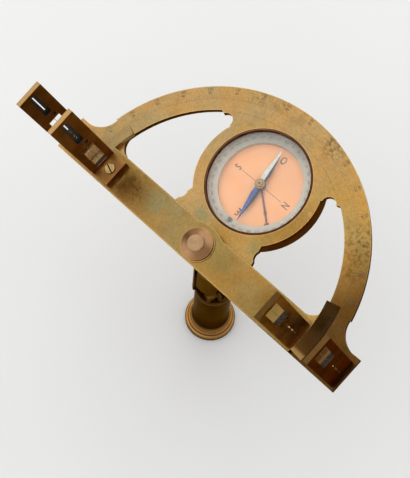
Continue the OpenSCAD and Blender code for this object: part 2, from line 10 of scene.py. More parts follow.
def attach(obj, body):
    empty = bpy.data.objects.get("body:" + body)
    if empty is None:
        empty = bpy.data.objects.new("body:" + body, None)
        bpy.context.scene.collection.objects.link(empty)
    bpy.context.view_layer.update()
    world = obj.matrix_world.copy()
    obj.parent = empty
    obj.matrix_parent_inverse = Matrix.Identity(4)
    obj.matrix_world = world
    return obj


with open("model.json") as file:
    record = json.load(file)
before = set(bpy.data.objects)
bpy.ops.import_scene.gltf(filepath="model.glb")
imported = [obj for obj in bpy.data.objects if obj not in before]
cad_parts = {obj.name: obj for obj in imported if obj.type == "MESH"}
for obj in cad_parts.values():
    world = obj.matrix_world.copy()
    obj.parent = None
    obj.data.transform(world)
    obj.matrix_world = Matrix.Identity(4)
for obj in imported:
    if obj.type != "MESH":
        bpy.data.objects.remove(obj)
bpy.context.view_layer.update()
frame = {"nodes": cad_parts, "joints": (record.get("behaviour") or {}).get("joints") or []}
NODES = frame["nodes"]
JOINTS = {joint["name"]: joint for joint in frame["joints"]}

bl_info = {
    "name": "Graphometer",
    "version": (1, 0, 0),
    "blender": (4, 2, 0),
    "location": "View3D > Sidebar > Graphometer",
    "description": "Finishes, graduations and studio for a brass graphometer",
    "category": "Object",
}


def placed_axes(across, along, over, place):
    """Matrix with three axes as its columns, at a place."""
    turned = Matrix((across, along, over)).transposed().to_4x4()
    turned.translation = place
    return turned


# The plate's own axes: the pivot on its upper face, its normal, and the way to the compass.
PIVOT = Vector(JOINTS["limb_turn"]["pos_m"])
NORMAL = Vector(JOINTS["limb_turn"]["axis"]).normalized()
TO_COMPASS = Vector(JOINTS["needle_turn"]["pos_m"]) - PIVOT
ARC_WAY = (TO_COMPASS - NORMAL * TO_COMPASS.dot(NORMAL)).normalized()
BAR_WAY = ARC_WAY.cross(NORMAL)
PLATE = placed_axes(BAR_WAY, ARC_WAY, NORMAL, PIVOT)
COMPASS = PLATE @ Matrix.Translation((0.0, TO_COMPASS.dot(ARC_WAY), 0.0))
UPWARD = (0.0, 0.0, 1.0)
MM = 0.001


def plate_box(node, base=PLATE):
    """Lowest and highest corner of a CAD node in plate coordinates, in metres."""
    back = base.inverted()
    points = [back @ vertex.co for vertex in NODES[node].data.vertices]
    low = Vector([min(point[axis] for point in points) for axis in range(3)])
    high = Vector([max(point[axis] for point in points) for axis in range(3)])
    return low, high


# Heights over the plate at the compass, in metres, and the needle's heading at rest, in degrees.
DIAL_TOP = plate_box("compass_dial", COMPASS)[1].z
RING_TOP = DIAL_TOP + 0.004
NEEDLE_TOP = plate_box("needle", COMPASS)[1].z
NEEDLE_HEADING = 99.0

# The sights, in metres: thickness, height of the foot's limit, and where the openings' black paint ends
# at the sides, over the bottom and under the top.
SIGHT_THICKNESS = 0.0032
SIGHT_FOOT_TOP = 0.014
OPENING_SIDES = (-0.0095, 0.0079)
OPENING_OVER_BOTTOM = 0.006
OPENING_UNDER_TOP = 0.002

# The socket, in metres: inner radii of the grooves on its foot, which are painted dark as painted shade,
# and heights between which the foot ends.
SOCKET_GROOVES = (0.0142, 0.0161)
SOCKET_FOOT_TOP = (0.007, 0.011)

# Patina on the flat brass, and patches of painted shade marked dim: place on the plate and radius in
# millimetres, tone and amount.
LIMB_PATCHES = (
    (80.0, 69.0, 17.0, "brown", 0.85),
    (88.0, 52.0, 12.0, "brown", 0.6),
    (24.0, 103.0, 11.0, "brown", 0.75),
    (-37.0, 100.0, 9.0, "brown", 0.6),
    (-24.0, 103.0, 8.0, "brown", 0.6),
    (-14.0, 15.0, 15.0, "green", 0.8),
    (30.0, 25.0, 12.0, "green", 0.7),
    (-91.0, 34.0, 16.0, "green", 0.55),
    (-106.0, 20.0, 14.0, "green", 0.6),
    (-40.0, 88.0, 38.0, "green", 0.4),
    (40.0, 46.0, 26.0, "dim", 0.9),
    (6.0, 12.0, 18.0, "dim", 0.7),
)
# On the alidade the brown patch at -60 and the dim patch at -66, beside the left sight's foot, are a
# painted reflection of that sight.
ALIDADE_PATCHES = (
    (46.0, 1.5, 10.0, "green", 0.5),
    (-42.0, 3.0, 11.0, "green", 0.9),
    (-24.0, 3.0, 12.0, "green", 0.25),
    (-60.0, 0.0, 15.0, "brown", 0.9),
    (-66.0, -3.0, 12.0, "dim", 1.0),
    (62.0, 3.0, 13.0, "dim", 0.9),
    (24.0, 0.0, 15.0, "dim", 0.5),
)
# The painted shade on the right end of the plate leaves out one place: its centre and radius in
# millimetres.
RIGHT_GLOW = (85.0, 16.0, 13.0)

# Tints in clouds on the flat brass: the noise's scale and detail, the range of it, and the tint.
CLOUD_TINTS = (
    (45.0, 5.0, 0.44, 0.58, (1.05, 0.97, 0.83)),
    (33.0, 5.0, 0.5, 0.64, (0.9, 0.98, 1.0)),
    (620.0, 6.0, 0.4, 0.64, (0.87, 0.85, 0.8)),
)

# Shares of red, green and blue by which a place differs from the colour of its metal.
# Darkening of the dim patches, which are painted shade.
PAINTED_SHADE_SHARE = (0.72, 0.68, 0.56)
# Painted shade on the plate's right end: a first share towards it, then the shadow share at the end.
PAINTED_DUSK_SHARE = (0.97, 0.93, 0.7)
SHADOW_SHARE = (0.24, 0.2, 0.16)
# Painted shade on the upright faces of the flat brass: strong on the limb and the alidade, mild elsewhere.
SHADED_SIDE_SHARE = (0.22, 0.165, 0.11)
MILD_SIDE_SHADE_SHARE = (1.0, 0.95, 0.85)
# Painted light on the left index arc, whose twin on the right is painted dark.
LEFT_ARC_LIT_SHARE = (0.95, 1.12, 1.36)
RIGHT_ARC_END_SHARE = (0.56, 0.48, 0.4)
TARNISH_SHARE = (0.72, 0.76, 0.76)
# Painted shade in the grooves of the socket's foot.
GROOVE_SHADE_SHARE = (1.5, 1.1, 1.0)
# Painted sheen on the knob's skirt: its dark and its light sectors.
KNOB_SHEEN_SHARES = ((0.62, 0.5, 0.4), (1.05, 0.95, 0.85))

# What the metals reflect at a grazing angle.
FLAT_GLANCE = (0.5, 0.38, 0.25)
UPRIGHT_GLANCE = (0.5, 0.34, 0.19)
TURNED_GLANCE = (0.55, 0.45, 0.32)
RETAINER_GLANCE = (0.5, 0.4, 0.3)

# Colours of the small pieces, of the black in the sights' openings and of the screw slots. A pair is mixed
# in clouds or specks.
OPENING_BLACK = ((0.009, 0.01, 0.012), (0.022, 0.025, 0.028))
SLOT_DARK = (0.02, 0.011, 0.005)
HAIR = ((0.03, 0.026, 0.022), (0.12, 0.1, 0.085))
STEEL = ((0.42, 0.42, 0.43), (0.25, 0.25, 0.26))
NEEDLE_WHITE = ((0.66, 0.67, 0.63), (0.52, 0.54, 0.5))
NEEDLE_SHADE = (0.03, 0.027, 0.02)
JEWEL = ((0.3, 0.07, 0.03), (0.5, 0.2, 0.1))
LIFTER_RED = ((0.14, 0.03, 0.02), (0.22, 0.055, 0.035))
RING_INNER = (0.47, 0.48, 0.4)
# Painted shade on the far side of the ring.
RING_FAR_SHADE_SHARE = (0.64, 0.66, 0.68)
RING_SPOT = (0.04, 0.06, 0.06)
RING_WAX = (0.075, 0.07, 0.058)
DIAL_WAX = (0.13, 0.06, 0.03)

# Depth of the fine relief, and how far the worn edges, which are partly painted highlight, reach in from an
# edge, in metres.
# Edges that turn by more than the sharp angle, in degrees, are eased.
FINE_RELIEF = 0.00002
UPRIGHT_RELIEF = 0.000015
DIAL_RELIEF = 0.00001
WEAR_REACH = 0.0009
UPRIGHT_WEAR_REACH = 0.0005
SHARP_ANGLE = 40.0

# Painted light and shade on each sight: shares for its upright faces by red, green and blue, its top and
# its foot. The right fixed sight is painted dark as painted shade, its foot as the upright's painted
# shadow, and the right alidade sight paler as painted light.
SIGHT_TONE = {
    "fixed_sight_left": ((1.2, 1.2, 1.2), 0.85, 1.0),
    "fixed_sight_right": ((0.32, 0.42, 0.48), 0.26, 0.4),
    "alidade_sight_left": ((1.35, 1.35, 1.35), 0.9, 1.0),
    "alidade_sight_right": ((2.7, 2.7, 2.7), 0.2, 0.9),
}

# Engraved marks: radii, lengths and line ends in millimetres and angles in degrees. The figures' size, the
# letters' weight and the depth of the wax are in metres, and the letters' shape is in shares.
DEGREE_LINE_R = 101.2
DEGREE_LINE_LENGTHS = (4.0, 3.0, 2.2)
INNER_ARC_R = 92.8
DEGREE_FIGURE_R = (108.0, 105.4)
INDEX_INNER_R = 92.0
INDEX_OUTER_R = 100.5
INDEX_LINE_LENGTHS = (3.4, 2.6, 1.9)
INDEX_LINE_COUNT = 31
INDEX_STEP = 0.5
RING_LINE_R = 35.4
RING_FIGURE_R = 32.0
RING_FIGURE_SIZE = 0.0021
DIAL_LETTERS = (("N", 0.0, 21.3), ("O", 90.0, 21.5), ("S", 180.0, 20.8), ("E", 270.0, 22.3))
DIAL_LETTER_WEIGHT = 0.00012
DIAL_LETTER_SHAPE = (0.72, 1.04, 1.0, 1.0)
DIAL_LINE_ENDS = (4.0, 17.4)
MARK_DEPTH = 0.00003

# Place and axes of the camera in the plate's coordinates, from the fit to the photograph.
CAMERA_PLACE = (0.309225, -0.011144, 0.732917)
CAMERA_RIGHT = (0.69128, 0.66757, -0.27656)
CAMERA_UP = (-0.60882, 0.74424, 0.27469)
SENSOR_WIDTH = 36.0

# The floor and the lamps, in metres.
FLOOR_REACH = 6.0
KEY_DISTANCE = 1.5
KEY_WIDTH = 2.0
SIDE_PLACE = (-0.9, 0.5, 0.7)
SIDE_AIM = (0.0, 0.0, 0.12)
SIDE_WIDTH = 1.0

# What the colour settings and the length settings have in common.
COLOUR = {"size": 3, "subtype": "COLOR", "min": 0.0, "max": 1.0}
LENGTH = {"subtype": "DISTANCE", "unit": "LENGTH"}


class GraphometerFinish(bpy.types.PropertyGroup):
    """Colours and wear of the metals."""

    limb_colour: bpy.props.FloatVectorProperty(
        name="Limb brass", description="Lacquered brass of the limb plate",
        default=(0.464, 0.284, 0.112), **COLOUR)
    alidade_colour: bpy.props.FloatVectorProperty(
        name="Alidade brass", description="Worn brass of the alidade",
        default=(0.329, 0.2, 0.063), **COLOUR)
    green_colour: bpy.props.FloatVectorProperty(
        name="Green patina", description="Grey-green patina on the flat brass",
        default=(0.25, 0.216, 0.113), **COLOUR)
    brown_colour: bpy.props.FloatVectorProperty(
        name="Brown patina", description="Brown stains on the flat brass",
        default=(0.18, 0.094, 0.028), **COLOUR)
    # The worn edges in this colour are partly painted highlight along the eased edges.
    edge_colour: bpy.props.FloatVectorProperty(
        name="Worn edge", description="Brass worn bright along the edges",
        default=(0.78, 0.53, 0.21), **COLOUR)
    # The upright faces take this dark partly as painted shade.
    upright_colour: bpy.props.FloatVectorProperty(
        name="Upright brass", description="Dark lacquer on the sights' upright faces",
        default=(0.145, 0.066, 0.016), **COLOUR)
    foot_colour: bpy.props.FloatVectorProperty(
        name="Foot brass", description="Browner brass of the sights' feet",
        default=(0.435, 0.22, 0.064), **COLOUR)
    socket_colour: bpy.props.FloatVectorProperty(
        name="Socket brass", description="Darkened brass of the staff socket",
        default=(0.074, 0.037, 0.011), **COLOUR)
    rim_colour: bpy.props.FloatVectorProperty(
        name="Rim brass", description="Bright brass of the socket's flared foot",
        default=(0.48, 0.25, 0.072), **COLOUR)
    knob_colour: bpy.props.FloatVectorProperty(
        name="Knob metal", description="Redder metal of the pivot knob",
        default=(0.44, 0.265, 0.135), **COLOUR)
    dial_colour: bpy.props.FloatVectorProperty(
        name="Dial copper", description="Matt copper of the compass dial",
        default=(1.0, 0.475, 0.208), **COLOUR)
    ring_colour: bpy.props.FloatVectorProperty(
        name="Silvered ring", description="Silvering of the graduated compass ring",
        default=(0.65, 0.53, 0.41), **COLOUR)
    box_colour: bpy.props.FloatVectorProperty(
        name="Box brass", description="Red-brown patina of the compass box",
        default=(0.09, 0.034, 0.016), **COLOUR)
    blue_colour: bpy.props.FloatVectorProperty(
        name="Blued steel", description="Blued half of the needle",
        default=(0.054, 0.098, 0.29), **COLOUR)
    edge_width: bpy.props.FloatProperty(
        name="Edge width", description="Width of the eased edges",
        min=0.0, max=0.001, default=0.00035, **LENGTH)


class GraphometerMarks(bpy.types.PropertyGroup):
    """Sizes and wax of the engraved lines and figures."""

    line_width: bpy.props.FloatProperty(
        name="Line width", description="Width of an engraved line",
        min=0.00005, max=0.0005, default=0.0001, **LENGTH)
    line_height: bpy.props.FloatProperty(
        name="Line height", description="How far the wax in a line stands over the brass",
        min=0.00001, max=0.0001, default=0.00002, **LENGTH)
    figure_size: bpy.props.FloatProperty(
        name="Figure size", description="Height of the figures on the limb",
        min=0.001, max=0.004, default=0.0027, **LENGTH)
    letter_size: bpy.props.FloatProperty(
        name="Letter size", description="Height of the letters on the dial",
        min=0.003, max=0.012, default=0.0072, **LENGTH)
    wax_colour: bpy.props.FloatVectorProperty(
        name="Wax", description="Dark wax in the engraved lines",
        default=(0.042, 0.025, 0.012), **COLOUR)


class GraphometerStage(bpy.types.PropertyGroup):
    """Floor, lamps and camera."""

    floor_colour: bpy.props.FloatVectorProperty(
        name="Floor", description="Colour of the pale floor",
        default=(0.74, 0.74, 0.73), **COLOUR)
    sky_level: bpy.props.FloatProperty(
        name="Sky level", description="Brightness of the even light all round",
        min=0.0, max=2.0, default=0.98)
    key_power: bpy.props.FloatProperty(
        name="Key lamp", description="Power of the large lamp over the limb",
        unit="POWER", min=0.0, max=200.0, default=5.5)
    side_power: bpy.props.FloatProperty(
        name="Side lamp", description="Power of the lamp on the left",
        unit="POWER", min=0.0, max=200.0, default=2.4)
    lens: bpy.props.FloatProperty(
        name="Lens", description="Focal length of the camera in millimetres",
        min=20.0, max=300.0, default=109.52)


def scaled(colour, share):
    """A colour times one share, or times a share each for red, green and blue."""
    shares = share if isinstance(share, tuple) else (share, share, share)
    return tuple(value * part for value, part in zip(colour, shares))


class Finish:
    """Builds one procedural material, node by node."""

    def __init__(self, name, metal, rough):
        self.material = bpy.data.materials.new(name)
        self.material.use_nodes = True
        self.tree = self.material.node_tree
        self.shader = self.tree.nodes["Principled BSDF"]
        self.shader.inputs["Metallic"].default_value = metal
        self.shader.inputs["Roughness"].default_value = rough
        self.place = self.tree.nodes.new("ShaderNodeTexCoord")

    def glance(self, colour):
        """Sets what the metal reflects at a grazing angle."""
        self.shader.inputs["Specular Tint"].default_value = (*colour, 1.0)

    def link(self, source, target):
        """Joins two sockets."""
        self.tree.links.new(source, target)

    def feed(self, target, value):
        """Gives an input its value, from a socket or as a constant."""
        if isinstance(value, bpy.types.NodeSocket):
            self.link(value, target)
        else:
            target.default_value = value

    def number(self, operation, first, second):
        """Result of arithmetic on two numbers, each a socket or a constant."""
        node = self.tree.nodes.new("ShaderNodeMath")
        node.operation = operation
        self.feed(node.inputs[0], first)
        self.feed(node.inputs[1], second)
        return node.outputs[0]

    def vector(self, operation, *values):
        """Result of arithmetic on vectors, each a socket or a constant."""
        node = self.tree.nodes.new("ShaderNodeVectorMath")
        node.operation = operation
        for target, value in zip(node.inputs, values):
            self.feed(target, value)
        is_number = operation in ("DOT_PRODUCT", "DISTANCE", "LENGTH")
        return node.outputs["Value" if is_number else "Vector"]

    def noise(self, scale, detail=3.0, stretch=(1.0, 1.0, 1.0), turn=(0.0, 0.0, 0.0)):
        """Noise in the object's own space."""
        mapping = self.tree.nodes.new("ShaderNodeMapping")
        mapping.inputs["Scale"].default_value = stretch
        mapping.inputs["Rotation"].default_value = turn
        self.link(self.place.outputs["Object"], mapping.inputs["Vector"])
        texture = self.tree.nodes.new("ShaderNodeTexNoise")
        texture.inputs["Scale"].default_value = scale
        texture.inputs["Detail"].default_value = detail
        self.link(mapping.outputs["Vector"], texture.inputs["Vector"])
        return texture.outputs["Fac"]

    def span(self, value, low, high, out_low=0.0, out_high=1.0):
        """Maps a value from one range to another and clamps it."""
        node = self.tree.nodes.new("ShaderNodeMapRange")
        node.inputs["From Min"].default_value = low
        node.inputs["From Max"].default_value = high
        node.inputs["To Min"].default_value = out_low
        node.inputs["To Max"].default_value = out_high
        self.link(value, node.inputs["Value"])
        return node.outputs["Result"]

    def cloud(self, scale, detail, high=0.7):
        """Soft clouds, from nothing to one."""
        return self.span(self.noise(scale, detail), 0.35, high)

    def within(self, value, low, high, fade):
        """One where a value lies between two limits, fading to nothing inside them."""
        return self.times(self.span(value, low, low + fade), self.span(value, high - fade, high, 1.0, 0.0))

    def mix(self, factor, first, second):
        """Mixes two colours, each a colour or a socket."""
        node = self.tree.nodes.new("ShaderNodeMix")
        node.data_type = "RGBA"
        self.link(factor, node.inputs[0])
        for target, colour in ((node.inputs[6], first), (node.inputs[7], second)):
            is_socket = isinstance(colour, bpy.types.NodeSocket)
            self.feed(target, colour if is_socket else (*colour, 1.0))
        return node.outputs[2]

    def tint(self, factor, colour, by):
        """Multiplies a colour by another, as far as the factor goes."""
        socket = self.mix(factor, colour, by)
        socket.node.blend_type = "MULTIPLY"
        return socket

    def times(self, first, second):
        """Product of two numbers."""
        return self.number("MULTIPLY", first, second)

    def along(self, output, way, start=(0.0, 0.0, 0.0)):
        """Distance along a direction, of a place or of a normal, from a start point."""
        shifted = self.vector("SUBTRACT", self.place.outputs[output], start)
        return self.vector("DOT_PRODUCT", shifted, way)

    def distance(self, point):
        """Distance from a point."""
        return self.vector("DISTANCE", self.place.outputs["Object"], point)

    def near(self, x, y, radius, amount):
        """How near a place is to a point of the plate: the amount at the point, nothing at the radius."""
        point = PLATE @ Vector((x * MM, y * MM, 0.0))
        return self.span(self.distance(point), radius * 0.3 * MM, radius * MM, amount, 0.0)

    def edges(self, width):
        """How near a place is to an edge, from how far a rounded normal turns there."""
        rounded = self.tree.nodes.new("ShaderNodeBevel")
        rounded.samples = 4
        rounded.inputs["Radius"].default_value = width
        surface = self.tree.nodes.new("ShaderNodeNewGeometry")
        turned = self.vector("DOT_PRODUCT", rounded.outputs["Normal"], surface.outputs["Normal"])
        return self.span(turned, 0.78, 0.97, 1.0, 0.0)

    def radius(self, centre, axis=NORMAL):
        """Distance from an axis, the plate's own unless another is given, through a point."""
        shifted = self.vector("SUBTRACT", self.place.outputs["Object"], centre)
        return self.vector("LENGTH", self.vector("CROSS_PRODUCT", shifted, axis))

    def round_noise(self, scale):
        """Noise that changes only with the distance from the plate's axis."""
        texture = self.tree.nodes.new("ShaderNodeTexNoise")
        texture.noise_dimensions = "1D"
        texture.inputs["Scale"].default_value = scale
        texture.inputs["Detail"].default_value = 3.0
        self.link(self.radius(PIVOT), texture.inputs["W"])
        return texture.outputs["Fac"]

    def colour(self, socket):
        """Sets the base colour."""
        self.link(socket, self.shader.inputs["Base Color"])

    def colour_so_far(self):
        """The socket that gives the base colour until now."""
        return self.shader.inputs["Base Color"].links[0].from_socket

    def metal(self, socket):
        """Sets how far the surface is metal."""
        self.link(socket, self.shader.inputs["Metallic"])

    def rough(self, socket):
        """Sets the roughness."""
        self.link(socket, self.shader.inputs["Roughness"])

    def bump(self, height, depth):
        """Adds relief of the given depth, in metres."""
        node = self.tree.nodes.new("ShaderNodeBump")
        node.inputs["Strength"].default_value = 1.0
        node.inputs["Distance"].default_value = depth
        self.link(height, node.inputs["Height"])
        self.link(node.outputs["Normal"], self.shader.inputs["Normal"])


def flat_brass(name, colour, look, green, brown, seed, dusk=0.0, patches=(), side=MILD_SIDE_SHADE_SHARE, wear=0.0):
    """Lacquered brass brushed round the pivot, with clouds and stains and, where asked, patches (the dim
    ones painted shade, two on the alidade a painted reflection), worn edges that are partly painted
    highlight, and painted shade on the upright faces and the right end."""
    finish = Finish(name, metal=1.0, rough=0.28)
    finish.glance(FLAT_GLANCE)
    turn = (0.3 * seed, 0.5 * seed, 0.7 * seed)
    clouds = finish.span(finish.noise(38.0, 4.0, turn=turn), 0.42, 0.68, 0.0, green)
    stains = finish.span(finish.noise(95.0, 6.0, turn=turn), 0.55, 0.76, 0.0, brown)
    specks = finish.span(finish.noise(900.0, 3.0), 0.63, 0.72, 0.0, 0.4)
    brushed = finish.span(finish.round_noise(1500.0), 0.3, 0.7, 0.0, 0.16)
    body = finish.mix(clouds, colour, look.green_colour)
    for marks in (stains, specks, brushed):
        body = finish.mix(marks, body, look.brown_colour)
    spotted = finish.span(finish.noise(420.0, 5.0), 0.46, 0.6)
    smooth = finish.span(finish.noise(150.0, 4.0), 0.2, 0.6)
    for x, y, radius, tone, amount in patches:
        area = finish.near(x, y, radius, amount)
        # A dim patch is painted shade.
        if tone == "dim":
            body = finish.tint(area, body, PAINTED_SHADE_SHARE)
        elif tone == "brown":
            body = finish.mix(finish.times(area, spotted), body, look.brown_colour)
        else:
            body = finish.mix(finish.times(area, smooth), body, look.green_colour)
    for scale, detail, low, high, share in CLOUD_TINTS:
        cloud = finish.span(finish.noise(scale, detail, turn=turn), low, high)
        body = finish.tint(cloud, body, share)
    facing = finish.along("Normal", NORMAL)
    # Upright faces darkened as painted shade.
    body = finish.tint(finish.within(facing, -0.3, 0.3, 0.2), body, side)
    # Worn bright edges, partly wear and partly painted highlight; the metal is lessened there so that they
    # take the lamps' light.
    if wear:
        worn = finish.times(finish.edges(WEAR_REACH), finish.span(facing, 0.2, 0.4, 0.0, wear))
        body = finish.mix(worn, body, look.edge_colour)
        finish.metal(finish.span(worn, 0.0, 1.0, 1.0, 0.4))
    # Painted shade: the plate darkens towards its right end, all but one place.
    if dusk:
        corner = finish.along("Object", BAR_WAY - ARC_WAY * 0.6, PIVOT)
        body = finish.tint(finish.span(corner, -0.03, 0.0, 0.0, dusk), body, PAINTED_DUSK_SHARE)
        unshaded = finish.span(finish.near(*RIGHT_GLOW, 1.0), 0.0, 1.0, 1.0, 0.0)
        shadow = finish.times(finish.span(corner, 0.03, 0.08, 0.0, dusk), unshaded)
        body = finish.tint(shadow, body, SHADOW_SHARE)
    finish.colour(body)
    finish.rough(finish.span(finish.noise(210.0, 4.0), 0.3, 0.7, 0.2, 0.36))
    scratches = finish.noise(60.0, 4.0, (1.0, 24.0, 24.0), (0.0, 0.0, 0.4))
    finish.bump(scratches, FINE_RELIEF)
    return finish.material


def upright_brass(name, bright, dark, turn_over=0.6):
    """Brass painted bright on faces along the plate and dark elsewhere: partly worn brass and old lacquer,
    partly painted light on the tops and painted shade on the uprights.
    """
    finish = Finish(name, metal=1.0, rough=0.38)
    finish.glance(UPRIGHT_GLANCE)
    # Faces along the plate get the bright colour as painted light, the others the dark one as painted
    # shade.
    top = finish.span(finish.along("Normal", NORMAL), turn_over, turn_over + 0.03)
    cloud = finish.cloud(70.0, 5.0)
    shade = finish.mix(cloud, scaled(dark, 0.62), scaled(dark, 1.25))
    specks = finish.span(finish.noise(1100.0, 3.0), 0.62, 0.72, 0.0, 0.4)
    worn = finish.mix(specks, bright, dark)
    # Edges made paler, partly wear and partly painted highlight.
    rubbed_and_sheen = finish.times(finish.edges(UPRIGHT_WEAR_REACH), finish.span(cloud, 0.0, 1.0, 0.3, 0.75))
    shade = finish.mix(rubbed_and_sheen, shade, scaled(dark, 2.6))
    finish.colour(finish.mix(top, shade, worn))
    finish.rough(finish.span(finish.noise(260.0, 3.0), 0.3, 0.7, 0.3, 0.48))
    finish.bump(finish.noise(300.0, 4.0, (1.0, 8.0, 1.0)), UPRIGHT_RELIEF)
    return finish


def darken_foot(finish, colour):
    """Browns the upper face of a sight's foot."""
    height = finish.along("Object", NORMAL, PIVOT)
    top = finish.span(finish.along("Normal", NORMAL), 0.6, 0.63)
    foot = finish.times(finish.span(height, SIGHT_FOOT_TOP, SIGHT_FOOT_TOP + 0.002, 1.0, 0.0), top)
    cloud = finish.cloud(130.0, 4.0, 0.65)
    tone = finish.mix(cloud, colour, scaled(colour, 0.72))
    finish.colour(finish.mix(foot, finish.colour_so_far(), tone))


def blacken_openings(finish, face, side, low, high):
    """Paints the floor of a sight's oval recess and the walls of its openings black."""
    depth = finish.along("Object", BAR_WAY * side, PIVOT)
    deep = finish.within(depth, face + 0.0002, face + SIGHT_THICKNESS - 0.0002, 0.0001)
    level = finish.within(finish.along("Object", NORMAL, PIVOT), low, high, 0.0002)
    middle = finish.within(finish.along("Object", ARC_WAY, PIVOT), *OPENING_SIDES, 0.0002)
    painted = finish.times(deep, finish.times(level, middle))
    grain = finish.cloud(500.0, 3.0, 0.65)
    # The floor of the recess and the walls of the openings are painted black.
    finish.colour(finish.mix(painted, finish.colour_so_far(), finish.mix(grain, *OPENING_BLACK)))
    finish.metal(finish.span(painted, 0.0, 1.0, 1.0, 0.0))


def turned_brass(name, light, dark, rubbed_and_sheen=None):
    """Brass turned on a lathe, with fine rings, a cloudy patina and, where asked, edges worn bright that
    are partly painted highlight.
    """
    finish = Finish(name, metal=1.0, rough=0.36)
    finish.glance(TURNED_GLANCE)
    rings = finish.noise(30.0, 4.0, (0.5, 0.5, 40.0))
    cloud = finish.cloud(80.0, 5.0)
    body = finish.mix(finish.times(cloud, finish.span(rings, 0.3, 0.7, 0.4, 1.0)), dark, light)
    if rubbed_and_sheen:
        edges = finish.times(finish.edges(WEAR_REACH), finish.span(cloud, 0.0, 1.0, 0.5, 0.9))
        body = finish.mix(edges, body, rubbed_and_sheen)
    finish.colour(body)
    finish.rough(finish.span(rings, 0.3, 0.7, 0.28, 0.46))
    finish.bump(rings, FINE_RELIEF)
    return finish.material


def speckled(name, colours, rough, scale, low, high):
    """A surface of two close colours in fine specks."""
    finish = Finish(name, metal=0.0, rough=rough)
    specks = finish.span(finish.noise(scale), low, high)
    finish.colour(finish.mix(specks, *colours))
    return finish.material


def wax(name, colour):
    """Dark wax in engraved lines, uneven from wear."""
    finish = Finish(name, metal=0.0, rough=0.6)
    worn = finish.span(finish.noise(420.0, 4.0), 0.42, 0.66)
    finish.colour(finish.mix(worn, colour, scaled(colour, 2.6)))
    return finish.material


def dress(node, material, width=None):
    """Gives a CAD node its finish and, where asked, eased edges."""
    piece = NODES[node]
    piece.data.materials.clear()
    piece.data.materials.append(material)
    if width:
        bevel = piece.modifiers.new("eased_edges", "BEVEL")
        bevel.width = width
        bevel.segments = 2
        bevel.limit_method = "ANGLE"
        bevel.angle_limit = math.radians(SHARP_ANGLE)
        bevel.use_clamp_overlap = True


def linked(name, data):
    """A new object in the scene."""
    item = bpy.data.objects.new(name, data)
    bpy.context.scene.collection.objects.link(item)
    return item


def new_piece(name, form, material, body):
    """Turns a bmesh into a piece with outward faces that rides on a body."""
    bmesh.ops.recalc_face_normals(form, faces=form.faces)
    mesh = bpy.data.meshes.new(name)
    form.to_mesh(mesh)
    form.free()
    mesh.materials.append(material)
    piece = linked(name, mesh)
    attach(piece, body)


def polar(radius, angle):
    """A point in metres at a radius in millimetres and an angle in degrees."""
    turn = math.radians(angle)
    return radius * MM * math.cos(turn), radius * MM * math.sin(turn)


def add_bar(form, start, end, width, height, base):
    """Adds one thin bar between two points, which may have a level of their own, up to a height."""
    way = Vector((end[0] - start[0], end[1] - start[1], 0.0))
    side = Vector((-way.y, way.x, 0.0)).normalized() * width * 0.5
    corners = []
    for level in (-MARK_DEPTH, height):
        for point, sign in ((start, 1), (end, 1), (end, -1), (start, -1)):
            rise = level + (point[2] if len(point) > 2 else 0.0)
            place = Vector((point[0], point[1], rise)) + side * sign
            corners.append(form.verts.new(base @ place))
    bottom, top = corners[:4], corners[4:]
    form.faces.new(bottom)
    form.faces.new(tuple(reversed(top)))
    for index in range(4):
        after = (index + 1) % 4
        form.faces.new((bottom[after], bottom[index], top[index], top[after]))


def add_arc(form, radius, start, end, width, height, base, steps):
    """Adds a thin arc as a run of short bars."""
    for index in range(steps):
        first = polar(radius, start + (end - start) * index / steps)
        second = polar(radius, start + (end - start) * (index + 1) / steps)
        add_bar(form, first, second, width, height, base)


def line_length(count, lengths):
    """Length of a line on a scale: long at each ten, middling at each five and short between."""
    if count % 10 == 0:
        return lengths[0]
    return lengths[1] if count % 5 == 0 else lengths[2]


def outward(base, radius, angle):
    """A place at a radius and an angle on a base, with its top turned away from the middle."""
    x, y = polar(radius, angle)
    turn = Matrix.Rotation(math.radians(angle - 90.0), 4, "Z")
    return base @ Matrix.Translation((x, y, 0.0)) @ turn


def add_figure(form, words, size, place, thick, weight=0.0):
    """Adds a word in the built-in letters, centred at a place, as solid strokes."""
    curve = bpy.data.curves.new("figure", "FONT")
    curve.body = words
    curve.size = size
    curve.align_x = "CENTER"
    curve.align_y = "CENTER"
    curve.extrude = thick
    curve.offset = weight
    curve.resolution_u = 3
    holder = linked("figure", curve)
    bpy.context.view_layer.update()
    seen = holder.evaluated_get(bpy.context.evaluated_depsgraph_get())
    mesh = bpy.data.meshes.new_from_object(seen)
    mesh.transform(place)
    form.from_mesh(mesh)
    bpy.data.objects.remove(holder)
    bpy.data.curves.remove(curve)
    bpy.data.meshes.remove(mesh)


class GRAPHOMETER_OT_limb(bpy.types.Operator):
    """Finishes the limb plate"""

    bl_idname = "graphometer.limb"
    bl_label = "Finish the limb"

    def execute(self, context):
        look = context.scene.graphometer_finish
        brass = flat_brass("limb_brass", look.limb_colour, look, green=0.35, brown=0.3, seed=1.0,
                           dusk=1.0, patches=LIMB_PATCHES, side=SHADED_SIDE_SHARE, wear=0.85)
        dress("limb_plate", brass, look.edge_width)
        return {"FINISHED"}


